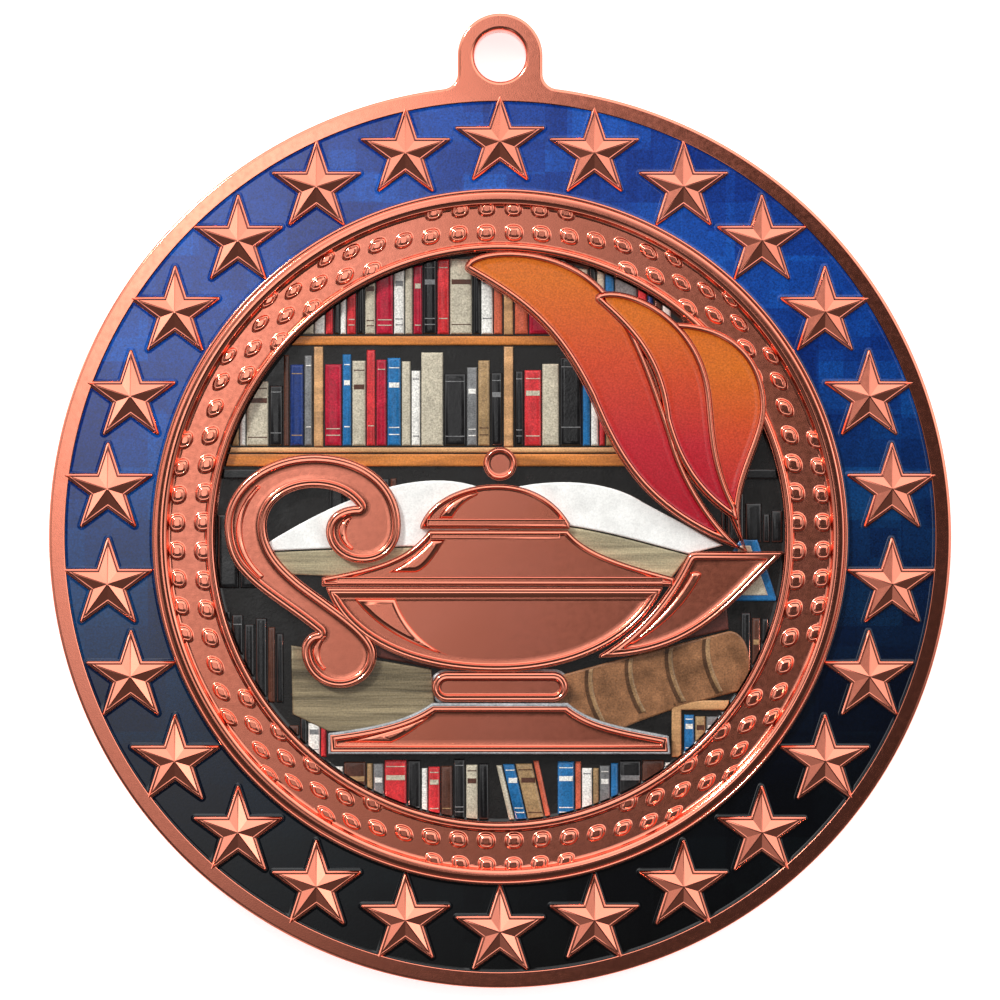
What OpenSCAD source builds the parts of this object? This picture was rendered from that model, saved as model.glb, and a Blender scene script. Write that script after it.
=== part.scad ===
// Academic medallion: a die-cast disc with an integral hanging loop, a ring of
// faceted stars, a ring of square beads, a raised lamp of learning and colour
// fills in its recesses. It lies face up: +Z is out of the face, +Y runs from
// the disc's centre to the loop, and the origin is the centre of the back.

/* [Disc] */
// Diameter of the disc, without the hanging loop
disc_d = 70; // [64:0.5:80]
// Thickness of the disc at its rim
disc_t = 3; // [2.6:0.1:4]
// Bevel round the face edge of the rim and loop
face_bevel = 0.3; // [0.15:0.05:0.4]
// Bevel round the back edge of the rim and loop
back_bevel = 0.25; // [0.1:0.05:0.4]

/* [Hanging loop] */
// Diameter of the hole for the ribbon's ring
loop_hole_d = 4; // [3:0.1:4.6]
// Width of metal round the hole
loop_wall = 1.3; // [1:0.05:1.8]
// Distance from the disc's edge to the centre of the hole
loop_rise = 2.3; // [1.9:0.05:3]
// Radius of the hollow corners where the loop meets the disc
loop_fillet_r = 1.2; // [0.8:0.1:1.6]
// Bevel at both mouths of the hole
hole_bevel = 0.28; // [0.1:0.02:0.4]

/* [Rim and star channel] */
// Width of the flat rim
rim_w = 1.24; // [1:0.02:1.8]
// Fall of the rim from its inner to its outer edge
rim_fall = 0.01; // [0:0.01:0.12]
// Width of the channel that holds the stars
channel_w = 6.82; // [6:0.02:7.4]
// Depth of the channel below the rim
channel_depth = 0.45; // [0.35:0.05:0.7]

/* [Stars] */
// Space between a star and each side of the channel
star_side_gap = 0.24; // [0.15:0.01:0.35]
// Least space between neighbouring stars
star_space = 0.4; // [0.2:0.05:0.8]
// Offset of the ring of stars outward from the middle of the channel
star_shift = 0.25; // [0:0.01:0.3]
// Height of a star's upright edge above the rim
star_edge_rise = 0.08; // [0.02:0.01:0.2]
// Height of a star's peak above its edge
star_peak = 0.72; // [0.5:0.02:1]

/* [Beaded ring] */
// Width of the outer rail
outer_rail_w = 1.27; // [1:0.01:1.5]
// Height of the outer rail above the beaded floor
outer_rail_h = 0.6; // [0.4:0.05:0.8]
// Width of the beaded floor
bead_band_w = 2.86; // [2.6:0.02:3.2]
// Depth of the beaded floor below the rim
bead_floor_depth = 0.12; // [0.05:0.01:0.2]
// Space between the beads' columns at the middle of the medal
bead_pitch_x = 2.6; // [2.5:0.05:2.7]
// Space between the beads' rows at the middle of the medal
bead_pitch_y = 2.75; // [2.65:0.05:2.85]
// Size of a bead as a share of the space between rows
bead_share = 0.6; // [0.5:0.02:0.7]
// Height of a bead
bead_h = 0.32; // [0.2:0.02:0.4]
// Width of the inner rail
inner_rail_w = 0.6; // [0.5:0.02:0.8]
// Height of the inner rail above the beaded floor
inner_rail_h = 0.38; // [0.3:0.02:0.45]

/* [Lamp and flame] */
// Depth of the picture recess below the rim
recess_depth = 1.1; // [0.8:0.05:1.3]
// Height of the lamp's borders above the recess floor
lamp_h = 1.15; // [1:0.05:1.4]
// Depth of the lamp's fields below their borders
lamp_field_depth = 0.25; // [0.15:0.05:0.35]
// Width of the border round each field of the lamp
lamp_border_w = 0.5; // [0.4:0.02:0.6]
// Height of the shine marks above the lamp's fields
mark_h = 0.14; // [0.08:0.02:0.2]
// Height of the flame's walls above the recess floor
flame_h = 1.5; // [1.4:0.05:1.7]
// Width of the walls between the flame's cells
flame_wall_w = 0.46; // [0.3:0.02:0.56]
// Depth of the flame's cells
flame_cell_depth = 0.4; // [0.3:0.05:0.5]

/* [Colour fills] */
// Thickness of the colour layer in the star channel
band_fill_t = 0.38; // [0.15:0.01:0.42]
// Thickness of the colour layer of the picture
picture_t = 0.25; // [0.15:0.05:0.4]
// Height of the picture's books and shelves above its ground
picture_relief = 0.12; // [0.05:0.01:0.2]
// Thickness of the colour in the flame's cells
flame_fill_t = 0.26; // [0.15:0.01:0.28]
// Gap round each colour layer
fill_gap = 0.04; // [0.02:0.01:0.08]

/* [Hidden] */

// How deep raised parts are rooted in the metal below them.
sink = 0.3;
// How far a cut runs past the face that it leaves by.
past = 2;
// How far a bevel's cone runs past the face that it opens.
over = 0.1;
// How far faces that would coincide are set apart.
hair = 0.01;
// How far the loop's hollow corners run into its neck and into the disc.
neck_lap = 0.6;
// How far a bead's middle may lie outside the beaded floor.
bead_reach = 0.05;
// How deep a shine mark is rooted in its field.
mark_root = 0.1;
// How deep the books and boards are rooted in the picture's ground.
book_root = 0.05;
// Share of the knop's half height that stays when its round ends shrink.
knop_core = 0.04;
disc_r = disc_d / 2;
channel_r = disc_r - rim_w;
rail_r = channel_r - channel_w;
bead_r = rail_r - outer_rail_w;
inner_rail_r = bead_r - bead_band_w;
field_r = inner_rail_r - inner_rail_w;

channel_z = disc_t - channel_depth;
bead_z = disc_t - bead_floor_depth;
recess_z = disc_t - recess_depth;
lamp_z = recess_z + lamp_h;
lamp_field_z = lamp_z - lamp_field_depth;
flame_z = recess_z + flame_h;
flame_cell_z = flame_z - flame_cell_depth;

loop_hole_r = loop_hole_d / 2;
loop_r = loop_hole_r + loop_wall;
loop_y = disc_r + loop_rise;

// A regular star is as tall as 1 + cos(36) times its outer radius.
star_r = (channel_w - 2 * star_side_gap) / (1 + cos(36));
star_notch_r = star_r * cos(72) / cos(36);
star_w = 2 * star_r * cos(18);
star_ring_r = (channel_r + rail_r) / 2 + star_shift;
star_count = floor(2 * PI * star_ring_r / (star_w + star_space));
star_edge_z = disc_t + star_edge_rise;

// The beads stand on a square net that bulges like a dome seen from above:
// these shares shorten its steps towards the medal's edge and its corners.
bead_squeeze_x = 0.00075;
bead_squeeze_y = 0.00108;
bead_bulge = 0.0019;
bead_rows = 12;
bead_corner = 0.55;
bead_top_share = 0.45;

// The rails' profiles: a row is [share of the width from the outer side,
// share of the height above the beaded floor].
OUTER_RAIL = [
    [0, 0.72],
    [0.14, 0.78],
    [0.17, 0.7],
    [0.3, 0.94],
    [0.48, 1],
    [0.68, 0.92],
    [0.86, 0.6],
    [0.9, 0.32],
    [1, 0.25],
    [1, 0]];
INNER_RAIL = [
    [0, 0],
    [0.14, 0.6],
    [0.35, 0.9],
    [0.55, 1],
    [0.8, 0.9],
    [1, 0.6]];

curve_steps = 8;
unit = field_r / 100;

copper = [0.80, 0.48, 0.37];
night_blue = [0.09, 0.22, 0.58];
book_brown = [0.52, 0.42, 0.30];
flame_orange = [0.86, 0.40, 0.16];
flame_red = [0.80, 0.20, 0.17];

// Outlines of the lamp and flame, in hundredths of the picture's radius from
// the disc's centre. A row of two numbers is a corner, [x, y]. A row of six is
// a curve from the last point: [pull_x, pull_y, pull_x, pull_y, x, y].
HANDLE = [
    [-49.5, 10.5],
    [-53, 15.5, -59, 17.5, -65, 17.5],
    [-75, 17.5, -82, 11.5, -82, 4],
    [-82, -5, -75.5, -11, -69.5, -16],
    [-57, -25.5, -43.5, -33.5, -43.5, -41],
    [-43.5, -48, -49.5, -52.5, -56, -52.5],
    [-63.5, -52.5, -69, -46.5, -69, -39.5],
    [-69, -36.5, -66.5, -33.5, -63.5, -33.5],
    [-73, -25.5, -84, -19.5, -90, -12.5],
    [-94, -8.5, -96, -2.5, -96, 4],
    [-96, 18, -81.5, 28.5, -65, 28.5],
    [-48, 28.5, -35, 19, -35, 4],
    [-35, -4, -40.5, -9, -48, -9],
    [-55, -9, -60.5, -4, -60.5, 2],
    [-60.5, 7.5, -55.5, 10.5, -49.5, 10.5]];
LID = [
    [-27.5, 3],
    [-27.5, 4],
    [-24.5, 12.5, -13, 18, -1, 18],
    [10.5, 18, 19.5, 12.5, 24, 4.5],
    [24, 3]];
SHOULDER = [
    [-24.5, 2],
    [23.5, 2],
    [29.5, -5.5, 41.5, -9.5, 60.5, -14.5],
    [60.5, -17],
    [-62, -17],
    [-62, -14.5],
    [-40, -10.5, -31.5, -7, -24.5, 2]];
BOWL = [
    [-60.5, -18],
    [-54, -36, -31.5, -47, -1, -47],
    [26, -47, 48.5, -36, 56.5, -18]];
SPOUT = [
    [35, -41.5],
    [48.5, -33.5, 58.5, -21.5, 65, -8],
    [66, -6, 67, -5.5, 69, -5.5],
    [98.8, -5.5],
    [81.5, -21.5, 69.5, -41.5, 35, -42]];
FOOT = [
    [-23.5, -58.5],
    [23.5, -58.5],
    [31.5, -65.5, 43.5, -67, 58.5, -70],
    [59, -75.5],
    [-59.5, -75.5],
    [-59.5, -69],
    [-43.5, -67, -32, -64.5, -23.5, -58.5]];
FLAME_LEFT = [
    [-10, 97],
    [-3, 101.5, 25, 102, 39, 83],
    [49, 71, 55.2, 50, 60.3, 35],
    [63.8, 21, 73.5, 5.5, 84, -4],
    [86, -5],
    [52, 7.5, 41.5, 24.5, 31.5, 49],
    [21, 70, 11, 80.5, -11.3, 92.8],
    [-12.6, 93.8, -12, 95.7, -10, 97]];
FLAME_MIDDLE = [
    [35, 85],
    [45, 88, 70, 77, 73.5, 50],
    [75, 37, 74.5, 26, 82.3, 10.5],
    [83, 5.5],
    [70, 13.5, 62, 24, 57.5, 41],
    [55.5, 59, 48.5, 69.5, 33.8, 82],
    [33, 83, 33.4, 84.4, 35, 85]];
FLAME_RIGHT = [
    [60.5, 74.8],
    [80, 74.5, 92, 64, 92.9, 46],
    [92.9, 34, 83.5, 22, 83.5, 8],
    [83.5, 3, 84.5, -1, 86, -5],
    [72, 23, 66, 54, 60.5, 74.8]];
KNOB = [0, 25.5, 5.5];
KNOP = [0, -52.5, 23.5, 5];
MARKS = [
    [[-83.4, 17.2], [-84, 18.2, -85, 18.2, -85.4, 17.4], [-94.6, 8, -95, -5, -84.2, -14.6],
     [-83.6, -15.2, -82.2, -14.4, -82.4, -13.4], [-92, -5, -92.4, 8, -83.4, 17.2]],
    [[-51.6, 6.6], [-51.9, 7.4, -53, 7.4, -53.4, 6.8], [-57.8, 4.6, -57.6, -1.4, -52.2, -4.6],
     [-51.4, -5, -50.8, -4, -51.4, -3.4], [-54.4, -0.8, -54.2, 3.4, -51.6, 6.6]],
    [[-60.6, -35], [-61, -34.2, -62, -34.2, -62.4, -34.8], [-66.8, -38.2, -66.4, -43, -62, -46.6],
     [-61.2, -47.2, -60.4, -46, -61, -45.4], [-63.6, -42, -63.4, -39, -60.6, -35]],
    [[-21.4, 6.4], [-19.4, 11.4, -15, 14.2, -8.6, 15.8], [-7.6, 16, -7.2, 15, -8, 14.4],
     [-12.4, 12.4, -15, 9.6, -16.6, 6.4]],
    [[-39, -12.5], [-32.5, -9, -27.5, -5, -24, -1], [-19, -1], [-22.5, -6.5, -25.5, -11.5, -29.5, -12.5]],
    [[-51, -21.5], [-44.5, -30.5, -33, -38, -16.5, -42], [-27.5, -38, -33.5, -30, -36.5, -21.5]],
    [[66.4, -13], [66.8, -11.8, 70, -11.8, 70.4, -13.2], [66.4, -22, 58.4, -31, 46.5, -37.4],
     [45.6, -37.8, 44.8, -37, 45.4, -36.4], [55, -29.5, 62, -21, 66.4, -13]],
    [[-55.5, -72], [-43, -68.5, -31.5, -66, -22, -60.5], [-27.5, -66, -32, -69.5, -38, -72]]];

// The picture's layout in the same hundredths. Boards: [left, right, bottom, top].
BOARDS = [
    [-84, 26, 66.5, 70],
    [-96, 52, 26.5, 31],
    [-9, -5.5, 31, 99],
    [-78, -74.5, 31, 66.5]];
// Rows of books: [left, right, foot, height, width of one book].
BOOK_ROWS = [
    [-72, -9.6, 70.6, 25, 4.4],
    [-5, 24, 70.6, 22, 5.2],
    [-74, -9.6, 31.6, 31, 4.9],
    [-5, 48, 31.6, 28, 5.6],
    [-96, -79, 31.6, 26, 4.2],
    [-70, 70, -99, 20, 5]];
// Share of the height by which books in a row differ, and the step in degrees
// of the wave that sets it.
book_vary = 0.2;
book_wave = 67;
// Space between two books in the same hundredths.
book_space = 0.5;
OPEN_BOOK = [
    [[-81, -2], [-55, 14, -26, 26, -4, 16], [-4, -3], [-28, -3, -60, -4, -80, -5]],
    [[-80, -5.5], [-60, -4.5, -28, -3.5, -4, -3.5], [-4, -16], [-77, -13]],
    [[0, 16], [18, 21, 38, 20, 50, 12], [78, -3], [66, -6], [46, -1, 30, 5, 0, 6]],
    [[0, 5.5], [30, 4.5, 46, -1.5, 66, -6.5], [58, -17], [0, -17]]];
BOOK_STACK = [
    [[-73, -37], [-24, -42], [-22, -66], [-66, -60]],
    [[16, -48], [80, -33], [86, -52], [24, -67]],
    [[-58, -76.5], [14, -76.5], [8, -88], [-52, -84]]];

function bezier(a, b, c, d) = [for (k = [1 : curve_steps]) let (t = k / curve_steps, s = 1 - t)
    s * s * s * a + 3 * s * s * t * b + 3 * s * t * t * c + t * t * t * d];

function last_point(row) = len(row) == 2 ? row : [row[4], row[5]];

function outline(rows) = unit * [for (k = [0 : len(rows) - 1]) let (row = rows[k])
    each (len(row) == 2 ? [row]
        : bezier(last_point(rows[k - 1]), [row[0], row[1]], [row[2], row[3]], last_point(row)))];

// The beads' net from the middle of the medal to column i and row j.
function net_point(i, j) =
    [bead_pitch_x * i * (1 - bead_squeeze_x * i * i - bead_bulge * j * j),
     bead_pitch_y * j * (1 - bead_squeeze_y * j * j - bead_bulge * i * i)];

// The eight corners of a square with cut corners, counted anticlockwise.
function bead_corners(cut) = [[1, -cut], [1, cut], [cut, 1], [-cut, 1],
                              [-1, cut], [-1, -cut], [-cut, -1], [cut, -1]];

// Outlines of the rails, from their shares to radius and height.
function rail_profile(rows, radius, width, height) =
    [for (row = rows) [radius - row[0] * width, bead_z + row[1] * height]];

// Star outline: ten corners, the first straight up.
function star_points(radius) = [for (k = [0 : 9])
    let (corner_r = k % 2 == 0 ? radius : radius * cos(72) / cos(36), angle = 90 + 36 * k)
    [corner_r * cos(angle), corner_r * sin(angle)]];

function star_place(k) = let (angle = 90 + 360 * k / star_count)
    [star_ring_r * cos(angle), star_ring_r * sin(angle), 0];

module solid_of_rings(rings) {
    count = len(rings[0]);
    last = len(rings) - 1;
    points = [for (ring = rings) each ring];
    faces = [[for (k = [0 : count - 1]) k],
             for (tier = [0 : last - 1], k = [0 : count - 1]) let (next = (k + 1) % count)
                 [tier * count + k, (tier + 1) * count + k, (tier + 1) * count + next, tier * count + next],
             [for (k = [count - 1 : -1 : 0]) last * count + k]];
    polyhedron(points, faces);
}

module bead(i, j) {
    middle = net_point(i, j);
    half = bead_share / 2;
    across = (net_point(i + half, j) - net_point(i - half, j)) / 2;
    up = (net_point(i, j + half) - net_point(i, j - half)) / 2;
    rings = [for (tier = [[1, -sink], [1, 0], [bead_top_share, bead_h]])
        [for (c = bead_corners(bead_corner))
            let (p = middle + tier[0] * (c[0] * across + c[1] * up))
            [p[0], p[1], bead_z + tier[1]]]];
    solid_of_rings(rings);
}

module star() {
    count = 10;
    edge = star_points(star_r);
    points = [for (p = edge) [p[0], p[1], channel_z - sink],
              for (p = edge) [p[0], p[1], star_edge_z],
              [0, 0, star_edge_z + star_peak]];
    faces = [[for (k = [0 : count - 1]) k],
             for (k = [0 : count - 1]) [k, count + k, count + (k + 1) % count, (k + 1) % count],
             for (k = [0 : count - 1]) [count + k, 2 * count, count + (k + 1) % count]];
    polyhedron(points, faces);
}

module disc() {
    edge_z = disc_t - rim_fall;
    profile = concat(
        [[0, 0],
         [disc_r - back_bevel, 0],
         [disc_r, back_bevel],
         [disc_r, edge_z - face_bevel],
         [disc_r - face_bevel, edge_z],
         [channel_r, disc_t],
         [channel_r, channel_z],
         [rail_r, channel_z]],
        rail_profile(OUTER_RAIL, rail_r, outer_rail_w, outer_rail_h),
        rail_profile(INNER_RAIL, inner_rail_r, inner_rail_w, inner_rail_h),
        [[field_r, recess_z],
         [0, recess_z]]);
    rotate_extrude($fn = 180) polygon(profile);
}

module loop() {
    top_z = disc_t - rim_fall;
    side = loop_r - hair;
    fillet_x = side + loop_fillet_r;
    fillet_y = sqrt(pow(disc_r + loop_fillet_r, 2) - pow(fillet_x, 2));
    root = [fillet_x, fillet_y] * (disc_r - neck_lap) / (disc_r + loop_fillet_r);
    translate([0, loop_y, 0])
        rotate_extrude($fn = 96)
            polygon([[0, 0], [loop_r - back_bevel, 0], [loop_r, back_bevel],
                     [loop_r, top_z - face_bevel], [loop_r - face_bevel, top_z], [0, top_z]]);
    translate([0, loop_y, 0])
        rotate([90, 0, 0])
            linear_extrude(loop_rise + rim_w)
                polygon([[-side + back_bevel, 0], [side - back_bevel, 0], [side, back_bevel],
                         [side, top_z - face_bevel], [side - face_bevel, top_z],
                         [-side + face_bevel, top_z], [-side, top_z - face_bevel], [-side, back_bevel]]);
    for (hand = [-1, 1]) difference() {
        linear_extrude(top_z)
            polygon([[hand * (side - neck_lap), fillet_y], [hand * fillet_x, fillet_y],
                     [hand * root[0], root[1]], [hand * (side - neck_lap), root[1]]]);
        translate([hand * fillet_x, fillet_y, -past / 2])
            cylinder(h = top_z + past, r = loop_fillet_r + hair, $fn = 64);
        translate([hand * fillet_x, fillet_y, top_z - face_bevel])
            cylinder(h = face_bevel + over, r1 = loop_fillet_r + hair,
                     r2 = loop_fillet_r + hair + face_bevel + over, $fn = 64);
        translate([hand * fillet_x, fillet_y, -over])
            cylinder(h = back_bevel + over, r1 = loop_fillet_r + hair + back_bevel + over,
                     r2 = loop_fillet_r + hair, $fn = 64);
    }
}

module loop_hole() {
    top_z = disc_t - rim_fall;
    translate([0, loop_y, -past / 2])
        cylinder(h = disc_t + past, r = loop_hole_r, $fn = 96);
    translate([0, loop_y, top_z - hole_bevel])
        cylinder(h = hole_bevel + over, r1 = loop_hole_r, r2 = loop_hole_r + hole_bevel + over, $fn = 96);
    translate([0, loop_y, -over])
        cylinder(h = hole_bevel + over, r1 = loop_hole_r + hole_bevel + over, r2 = loop_hole_r, $fn = 96);
}

module knob_shape() translate([KNOB[0], KNOB[1]] * unit) circle(r = KNOB[2] * unit, $fn = 48);

// A bar with round ends.
module knop_shape() {
    offset(r = KNOP[3] * unit * (1 - knop_core), $fn = 48)
        translate([KNOP[0], KNOP[1]] * unit)
            square([KNOP[2] - KNOP[3], KNOP[3] * knop_core] * 2 * unit, center = true);
}

module lamp_shapes() {
    for (rows = [HANDLE, LID, SHOULDER, BOWL, SPOUT, FOOT]) polygon(outline(rows));
    knob_shape();
    knop_shape();
}

module flame_shapes() {
    for (rows = [FLAME_LEFT, FLAME_MIDDLE, FLAME_RIGHT]) polygon(outline(rows));
}

// One part of the lamp: a raised border round a sunk field.
module lamp_part(border = lamp_border_w) {
    difference() {
        translate([0, 0, recess_z - sink]) linear_extrude(lamp_h + sink) children();
        translate([0, 0, lamp_field_z]) linear_extrude(lamp_field_depth + past)
            offset(delta = -border) children();
    }
}

module lamp() {
    for (rows = [HANDLE, LID, SHOULDER, BOWL, SPOUT, FOOT]) lamp_part() polygon(outline(rows));
    lamp_part() knob_shape();
    lamp_part() knop_shape();
    for (rows = MARKS)
        translate([0, 0, lamp_field_z - mark_root]) linear_extrude(mark_h + mark_root)
            polygon(outline(rows));
}

// The hollow of one flame, clear of the flames in front of it.
module flame_cell(rows, gap = 0) {
    offset(delta = -gap) difference() {
        offset(delta = -flame_wall_w) polygon(outline(rows));
        if (rows != FLAME_MIDDLE) offset(delta = hair) polygon(outline(FLAME_MIDDLE));
        if (rows == FLAME_RIGHT) offset(delta = hair) polygon(outline(FLAME_LEFT));
    }
}

module flame()
    translate([0, 0, recess_z - sink]) linear_extrude(flame_h + sink) offset(delta = hair) flame_shapes();

// Cut from the whole casting, because the flame laps over the inner rail.
module flame_hollows()
    for (rows = [FLAME_LEFT, FLAME_MIDDLE, FLAME_RIGHT])
        translate([0, 0, flame_cell_z]) linear_extrude(flame_cell_depth + past) flame_cell(rows);

module flame_fill(rows) {
    translate([0, 0, flame_cell_z]) linear_extrude(flame_fill_t) flame_cell(rows, fill_gap);
}

module medal_body() color(copper) difference() {
    union() {
        disc();
        loop();
        for (k = [0 : star_count - 1]) translate(star_place(k)) star();
        for (i = [0.5 : bead_rows], j = [0.5 : bead_rows], hand = [1, -1], side = [1, -1])
            if (norm(net_point(i, j)) > inner_rail_r && norm(net_point(i, j)) < bead_r + bead_reach)
                bead(hand * i, side * j);
        lamp();
        flame();
    }
    loop_hole();
    flame_hollows();
}

module band_fill() color(night_blue) translate([0, 0, channel_z]) linear_extrude(band_fill_t)
    difference() {
        circle(r = channel_r - fill_gap, $fn = 180);
        circle(r = rail_r + fill_gap, $fn = 180);
        for (k = [0 : star_count - 1]) translate(star_place(k)) intersection() {
            polygon(star_points(star_r + fill_gap / cos(72)));
            circle(r = star_r + fill_gap, $fn = 48);
        }
    }

// What the picture covers: the recess, clear of the lamp and the flame.
module picture_area() difference() {
    circle(r = field_r - fill_gap, $fn = 144);
    offset(delta = fill_gap) {
        lamp_shapes();
        flame_shapes();
    }
}

module picture_items() {
    for (b = BOARDS) translate([b[0], b[2]] * unit) square([b[1] - b[0], b[3] - b[2]] * unit);
    for (row = BOOK_ROWS, k = [0 : floor((row[1] - row[0]) / row[4]) - 1])
        translate([row[0] + k * row[4], row[2]] * unit)
            square([row[4] - book_space, row[3] * (1 - book_vary * abs(sin(book_wave * k)))] * unit);
    for (rows = OPEN_BOOK) polygon(outline(rows));
    for (rows = BOOK_STACK) polygon(outline(rows));
}

module picture_fill() color(book_brown) translate([0, 0, recess_z]) {
    linear_extrude(picture_t) picture_area();
    translate([0, 0, picture_t - book_root]) linear_extrude(picture_relief + book_root) intersection() {
        picture_area();
        picture_items();
    }
}

module flame_fill_left() color(flame_orange) flame_fill(FLAME_LEFT);

module flame_fill_middle() color(flame_red) flame_fill(FLAME_MIDDLE);

module flame_fill_right() color(flame_red) flame_fill(FLAME_RIGHT);

medal_body();
band_fill();
picture_fill();
flame_fill_left();
flame_fill_middle();
flame_fill_right();
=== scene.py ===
"""Academic medallion: a copper-plated casting with stars on a blue band, a
beaded ring, a picture of books and a raised lamp of learning with a flame."""
import math
import random

import bmesh
import bpy
import numpy as np
from mathutils import Matrix, Vector
from mathutils.geometry import delaunay_2d_cdt


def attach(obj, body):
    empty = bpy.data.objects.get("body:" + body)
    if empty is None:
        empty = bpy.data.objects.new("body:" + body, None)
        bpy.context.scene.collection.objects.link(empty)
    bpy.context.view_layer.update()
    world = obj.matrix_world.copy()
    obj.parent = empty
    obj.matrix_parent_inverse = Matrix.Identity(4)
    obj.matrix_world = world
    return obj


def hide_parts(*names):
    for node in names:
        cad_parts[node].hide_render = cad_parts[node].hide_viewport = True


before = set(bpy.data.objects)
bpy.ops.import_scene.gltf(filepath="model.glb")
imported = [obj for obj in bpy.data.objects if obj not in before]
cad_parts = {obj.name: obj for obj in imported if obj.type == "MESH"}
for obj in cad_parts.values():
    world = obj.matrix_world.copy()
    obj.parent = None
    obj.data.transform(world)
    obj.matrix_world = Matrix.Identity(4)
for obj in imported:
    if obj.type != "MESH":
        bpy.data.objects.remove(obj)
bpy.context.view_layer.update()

# Sizes in millimetres, as in the part.
MM = 0.001
DISC_R = 35.0
DISC_T = 3.0
RIM_W = 1.24
RIM_FALL = 0.01
LOOP_HOLE_R = 2.0
LOOP_WALL = 1.3
LOOP_RISE = 2.3
LOOP_FILLET_R = 1.2
CHANNEL_W = 6.82
CHANNEL_DEPTH = 0.45
STAR_COUNT = 26
STAR_SIDE_GAP = 0.24
STAR_SHIFT = 0.25
STAR_EDGE_RISE = 0.08
STAR_PEAK = 0.72
RAIL_W = 1.27
BEAD_BAND_W = 2.86
BEAD_FLOOR_DEPTH = 0.12
BEAD_PITCH_X = 2.6
BEAD_PITCH_Y = 2.75
BEAD_SHARE = 0.6
INNER_W = 0.6
RECESS_DEPTH = 1.1
LAMP_H = 1.15
LAMP_FIELD_DEPTH = 0.25
FLAME_H = 1.5
FLAME_CELL_DEPTH = 0.4
BAND_T = 0.38
GAP = 0.04

# Radii and heights that follow from them.
CHANNEL_R = DISC_R - RIM_W
RAIL_R = CHANNEL_R - CHANNEL_W
BEAD_R = RAIL_R - RAIL_W
INNER_R = BEAD_R - BEAD_BAND_W
FIELD_R = INNER_R - INNER_W
EDGE_Z = DISC_T - RIM_FALL
CHANNEL_Z = DISC_T - CHANNEL_DEPTH
BEAD_Z = DISC_T - BEAD_FLOOR_DEPTH
RECESS_Z = DISC_T - RECESS_DEPTH
LAMP_Z = RECESS_Z + LAMP_H
LAMP_FIELD_Z = LAMP_Z - LAMP_FIELD_DEPTH
FLAME_Z = RECESS_Z + FLAME_H
FLAME_CELL_Z = FLAME_Z - FLAME_CELL_DEPTH
LOOP_Y = DISC_R + LOOP_RISE
LOOP_R = LOOP_HOLE_R + LOOP_WALL
STAR_R = (CHANNEL_W - 2 * STAR_SIDE_GAP) / (1 + math.cos(math.radians(36)))
STAR_RING_R = (CHANNEL_R + RAIL_R) / 2 + STAR_SHIFT
STAR_EDGE_Z = DISC_T + STAR_EDGE_RISE
BAND_Z = CHANNEL_Z + BAND_T

# How far a star's foot stands out round it.
STAR_FOOT = 0.14
# How deep raised parts are rooted in the metal below them.
SINK = 0.3
# How deep bars and shine marks are rooted in the lamp's fields.
FIELD_ROOT = 0.1
# How deep the picture's pieces are rooted, as a height above the recess.
PRINT_ROOT = 0.05
# Height of the tops of the solids that cut or trim, above everything.
CUT_TOP = 5
# Steps in a full turn of the medal's round forms.
ROUND_STEPS = 288
# The unit of the picture, lamp and flame: a hundredth of the picture's radius.
UNIT = FIELD_R / 100

# Outlines of the lamp and flame. Two numbers are a corner, and six are a curve
# from the last point to the last pair.
HANDLE = [
    [-49.5, 10.5], [-53, 15.5, -59, 17.5, -65, 17.5], [-75, 17.5, -82, 11.5, -82, 4],
    [-82, -5, -75.5, -11, -69.5, -16], [-57, -25.5, -43.5, -33.5, -43.5, -41],
    [-43.5, -48, -49.5, -52.5, -56, -52.5], [-63.5, -52.5, -69, -46.5, -69, -39.5],
    [-69, -36.5, -66.5, -33.5, -63.5, -33.5], [-73, -25.5, -84, -19.5, -90, -12.5],
    [-94, -8.5, -96, -2.5, -96, 4], [-96, 18, -81.5, 28.5, -65, 28.5], [-48, 28.5, -35, 19, -35, 4],
    [-35, -4, -40.5, -9, -48, -9], [-55, -9, -60.5, -4, -60.5, 2], [-60.5, 7.5, -55.5, 10.5, -49.5, 10.5]]
LID = [
    [-27.5, 3], [-27.5, 4], [-24.5, 12.5, -13, 18, -1, 18], [10.5, 18, 19.5, 12.5, 24, 4.5], [24, 3]]
SHOULDER = [
    [-24.5, 2], [23.5, 2], [29.5, -5.5, 41.5, -9.5, 60.5, -14.5], [60.5, -17], [-62, -17], [-62, -14.5],
    [-40, -10.5, -31.5, -7, -24.5, 2]]
BOWL = [
    [-60.5, -18], [-54, -36, -31.5, -47, -1, -47], [26, -47, 48.5, -36, 56.5, -18]]
SPOUT = [
    [35, -41.5], [48.5, -33.5, 58.5, -21.5, 65, -8], [66, -6, 67, -5.5, 69, -5.5], [98.8, -5.5],
    [81.5, -21.5, 69.5, -41.5, 35, -42]]
FOOT = [
    [-23.5, -58.5], [23.5, -58.5], [31.5, -65.5, 43.5, -67, 58.5, -70], [59, -75.5], [-59.5, -75.5],
    [-59.5, -69], [-43.5, -67, -32, -64.5, -23.5, -58.5]]
FLAME_LEFT = [
    [-10, 97], [-3, 101.5, 25, 102, 39, 83], [49, 71, 55.2, 50, 60.3, 35], [63.8, 21, 73.5, 5.5, 84, -4],
    [86, -5], [52, 7.5, 41.5, 24.5, 31.5, 49], [21, 70, 11, 80.5, -11.3, 92.8],
    [-12.6, 93.8, -12, 95.7, -10, 97]]
FLAME_MIDDLE = [
    [35, 85], [45, 88, 70, 77, 73.5, 50], [75, 37, 74.5, 26, 82.3, 10.5], [83, 5.5],
    [70, 13.5, 62, 24, 57.5, 41], [55.5, 59, 48.5, 69.5, 33.8, 82], [33, 83, 33.4, 84.4, 35, 85]]
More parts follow.
